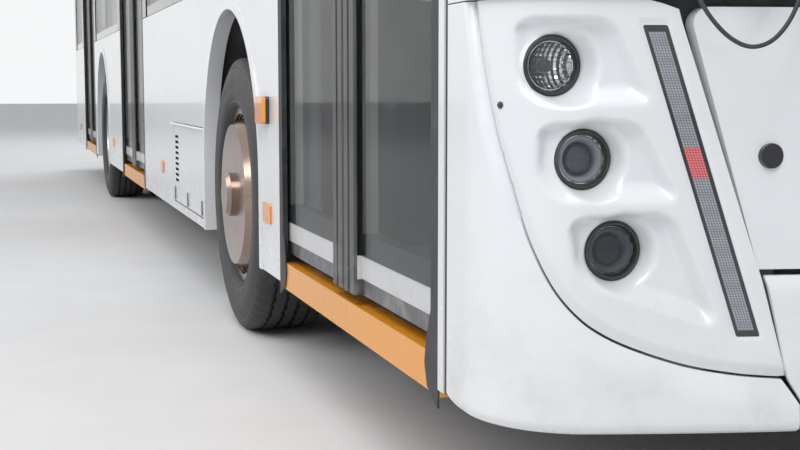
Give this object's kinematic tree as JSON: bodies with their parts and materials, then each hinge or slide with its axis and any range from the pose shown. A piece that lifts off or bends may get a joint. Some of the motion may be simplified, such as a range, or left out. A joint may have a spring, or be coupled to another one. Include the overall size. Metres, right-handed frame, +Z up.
{
  "type": "city bus",
  "caption": "White low-floor city bus with inward-folding double doors, steered front wheels, twin rear wheels and opening flaps.",
  "frame": {"origin": "on the ground under the middle of the bus, at the centre of its box", "axes": "+X forwards, +Y to the bus's left, +Z up; the doors are on -Y"},
  "size_m": [11.9998, 3, 3.0499],
  "materials": {
    "body_paint": "gloss white paint",
    "moulded_white": "gloss white moulded plastic",
    "roof_paint": "gloss white paint",
    "glazing": "lightly tinted safety glass",
    "lamp_glass": "clear polycarbonate",
    "strip_lens": "clear patterned lens",
    "red_lens": "red lens",
    "amber_lens": "amber lens",
    "black_plastic": "grained black plastic",
    "seal_rubber": "satin black rubber",
    "tyre_rubber": "tyre rubber",
    "wheel_metal": "polished cover over a steel rim",
    "rim_steel": "silver painted steel",
    "sill_yellow": "yellow paint",
    "leaf_dark": "dark grey powder coat",
    "frame_black": "black underseal",
    "axle_grey": "black painted casting",
    "steel_grey": "light grey powder coat",
    "rail_yellow": "yellow powder coat",
    "floor_vinyl": "speckled floor covering",
    "seat_blue": "moulded seats with fabric pads",
    "cab_grey": "dark grey plastic",
    "engine_iron": "grey casting",
    "hose_rubber": "black hose"
  },
  "bodies": {
    "hull": {"cab_desk": "cab_grey", "chassis_frame": "frame_black", "door_seals": "seal_rubber", "door_sills": "sill_yellow", "driver_seat": "seat_blue", "engine_block": "engine_iron", "floor_deck": "floor_vinyl", "front_axle": "axle_grey", "front_bumper": "moulded_white", "front_shell": "body_paint", "hand_rails": "rail_yellow", "head_lamps": "lamp_glass", "lamp_panels": "moulded_white", "light_strips": "strip_lens", "mirrors": "black_plastic", "nose_frame": "frame_black", "radiator_grille": "black_plastic", "rear_axle": "axle_grey", "rear_bumper": "moulded_white", "rear_lamps": "red_lens", "rear_shell": "body_paint", "roof": "roof_paint", "roof_units": "roof_paint", "seats": "seat_blue", "side_left": "body_paint", "side_markers": "amber_lens", "side_right": "body_paint", "washer_hose": "hose_rubber", "wheel_boxes": "frame_black", "windows": "glazing", "windscreen": "glazing", "wipers": "black_plastic"},
    "door_1_arm_front": {"door_1_arm_front": "steel_grey"},
    "door_1_arm_rear": {"door_1_arm_rear": "steel_grey"},
    "door_1_leaf_front": {"door_1_leaf_front": "leaf_dark"},
    "door_1_leaf_rear": {"door_1_leaf_rear": "leaf_dark"},
    "door_2_arm_front": {"door_2_arm_front": "steel_grey"},
    "door_2_arm_rear": {"door_2_arm_rear": "steel_grey"},
    "door_2_leaf_front": {"door_2_leaf_front": "leaf_dark"},
    "door_2_leaf_rear": {"door_2_leaf_rear": "leaf_dark"},
    "door_3_arm_front": {"door_3_arm_front": "steel_grey"},
    "door_3_arm_rear": {"door_3_arm_rear": "steel_grey"},
    "door_3_leaf_front": {"door_3_leaf_front": "leaf_dark"},
    "door_3_leaf_rear": {"door_3_leaf_rear": "leaf_dark"},
    "engine_lid": {"engine_lid": "body_paint"},
    "front_flap": {"front_flap": "moulded_white"},
    "front_wheel_left": {"front_rim_left": "wheel_metal", "front_tyre_left": "tyre_rubber"},
    "front_wheel_right": {"front_rim_right": "wheel_metal", "front_tyre_right": "tyre_rubber"},
    "knuckle_left": {"knuckle_left": "axle_grey"},
    "knuckle_right": {"knuckle_right": "axle_grey"},
    "rear_wheels_left": {"rear_rims_left": "rim_steel", "rear_tyres_left": "tyre_rubber"},
    "rear_wheels_right": {"rear_rims_right": "rim_steel", "rear_tyres_right": "tyre_rubber"},
    "side_hatch": {"side_hatch": "body_paint"},
    "steering_wheel": {"steering_wheel": "cab_grey"},
    "tie_rod": {"tie_rod": "axle_grey"}
  },
  "joints": [
    {"name": "kingpin_left_turn", "type": "hinge", "parent": "hull", "child": "knuckle_left", "pos_m": [3.3, 0.925, 0.465], "axis": [0, 0, 1], "range_deg": [-40, 40]},
    {"name": "kingpin_right_turn", "type": "hinge", "parent": "hull", "child": "knuckle_right", "pos_m": [3.3, -0.925, 0.465], "axis": [0, 0, 1], "range_deg": [-40, 40]},
    {"name": "tie_rod_pin", "type": "hinge", "parent": "knuckle_left", "child": "tie_rod", "pos_m": [3.11, 0.925, 0.225], "axis": [0, 0, 1], "range_deg": [-40, 40]},
    {"name": "front_wheel_left_spin", "type": "hinge", "parent": "knuckle_left", "child": "front_wheel_left", "pos_m": [3.3, 1.105, 0.465], "axis": [0, 1, 0], "continuous": true},
    {"name": "front_wheel_right_spin", "type": "hinge", "parent": "knuckle_right", "child": "front_wheel_right", "pos_m": [3.3, -1.105, 0.465], "axis": [0, 1, 0], "continuous": true},
    {"name": "rear_wheels_left_spin", "type": "hinge", "parent": "hull", "child": "rear_wheels_left", "pos_m": [-2.4, 0.945, 0.465], "axis": [0, 1, 0], "continuous": true},
    {"name": "rear_wheels_right_spin", "type": "hinge", "parent": "hull", "child": "rear_wheels_right", "pos_m": [-2.4, -0.945, 0.465], "axis": [0, 1, 0], "continuous": true},
    {"name": "door_1_post_rear_turn", "type": "hinge", "parent": "hull", "child": "door_1_arm_rear", "pos_m": [4.104, -1.142, 0.4], "axis": [0, 0, 1], "range_deg": [0, 90]},
    {"name": "door_1_leaf_rear_turn", "type": "hinge", "parent": "door_1_arm_rear", "child": "door_1_leaf_rear", "pos_m": [4.464, -1.142, 0.4], "axis": [0, 0, 1], "range_deg": [-180, 0]},
    {"name": "door_1_post_front_turn", "type": "hinge", "parent": "hull", "child": "door_1_arm_front", "pos_m": [5.55, -1.142, 0.4], "axis": [0, 0, 1], "range_deg": [-90, 0]},
    {"name": "door_1_leaf_front_turn", "type": "hinge", "parent": "door_1_arm_front", "child": "door_1_leaf_front", "pos_m": [5.19, -1.142, 0.4], "axis": [0, 0, 1], "range_deg": [0, 180]},
    {"name": "door_2_post_rear_turn", "type": "hinge", "parent": "hull", "child": "door_2_arm_rear", "pos_m": [-0.85, -1.142, 0.4], "axis": [0, 0, 1], "range_deg": [0, 90]},
    {"name": "door_2_leaf_rear_turn", "type": "hinge", "parent": "door_2_arm_rear", "child": "door_2_leaf_rear", "pos_m": [-0.49, -1.142, 0.4], "axis": [0, 0, 1], "range_deg": [-180, 0]},
    {"name": "door_2_post_front_turn", "type": "hinge", "parent": "hull", "child": "door_2_arm_front", "pos_m": [0.596, -1.142, 0.4], "axis": [0, 0, 1], "range_deg": [-90, 0]},
    {"name": "door_2_leaf_front_turn", "type": "hinge", "parent": "door_2_arm_front", "child": "door_2_leaf_front", "pos_m": [0.236, -1.142, 0.4], "axis": [0, 0, 1], "range_deg": [0, 180]},
    {"name": "door_3_post_rear_turn", "type": "hinge", "parent": "hull", "child": "door_3_arm_rear", "pos_m": [-4.618, -1.142, 0.4], "axis": [0, 0, 1], "range_deg": [0, 90]},
    {"name": "door_3_leaf_rear_turn", "type": "hinge", "parent": "door_3_arm_rear", "child": "door_3_leaf_rear", "pos_m": [-4.258, -1.142, 0.4], "axis": [0, 0, 1], "range_deg": [-180, 0]},
    {"name": "door_3_post_front_turn", "type": "hinge", "parent": "hull", "child": "door_3_arm_front", "pos_m": [-3.172, -1.142, 0.4], "axis": [0, 0, 1], "range_deg": [-90, 0]},
    {"name": "door_3_leaf_front_turn", "type": "hinge", "parent": "door_3_arm_front", "child": "door_3_leaf_front", "pos_m": [-3.532, -1.142, 0.4], "axis": [0, 0, 1], "range_deg": [0, 180]},
    {"name": "front_flap_lift", "type": "hinge", "parent": "hull", "child": "front_flap", "pos_m": [5.984, 0, 0.9635], "axis": [0, -1, 0], "range_deg": [0, 85]},
    {"name": "engine_lid_lift", "type": "hinge", "parent": "hull", "child": "engine_lid", "pos_m": [-5.978, 0.275, 1.322], "axis": [0, 1, 0], "range_deg": [0, 85]},
    {"name": "side_hatch_lift", "type": "hinge", "parent": "hull", "child": "side_hatch", "pos_m": [2.2475, -1.253, 0.667], "axis": [-1, 0, 0], "range_deg": [0, 100]},
    {"name": "steering_wheel_turn", "type": "hinge", "parent": "hull", "child": "steering_wheel", "pos_m": [4.95, 0.7, 1.12], "axis": [-0.5547, 0, 0.8321], "range_deg": [-450, 450]}
  ],
  "couplings": [
    {"joint": "kingpin_right_turn", "follows": "kingpin_left_turn", "ratio": 1},
    {"joint": "tie_rod_pin", "follows": "kingpin_left_turn", "ratio": -1},
    {"joint": "door_1_leaf_rear_turn", "follows": "door_1_post_rear_turn", "ratio": -2},
    {"joint": "door_1_post_front_turn", "follows": "door_1_post_rear_turn", "ratio": -1},
    {"joint": "door_1_leaf_front_turn", "follows": "door_1_post_rear_turn", "ratio": 2},
    {"joint": "door_2_leaf_rear_turn", "follows": "door_2_post_rear_turn", "ratio": -2},
    {"joint": "door_2_post_front_turn", "follows": "door_2_post_rear_turn", "ratio": -1},
    {"joint": "door_2_leaf_front_turn", "follows": "door_2_post_rear_turn", "ratio": 2},
    {"joint": "door_3_leaf_rear_turn", "follows": "door_3_post_rear_turn", "ratio": -2},
    {"joint": "door_3_post_front_turn", "follows": "door_3_post_rear_turn", "ratio": -1},
    {"joint": "door_3_leaf_front_turn", "follows": "door_3_post_rear_turn", "ratio": 2}
  ]
}
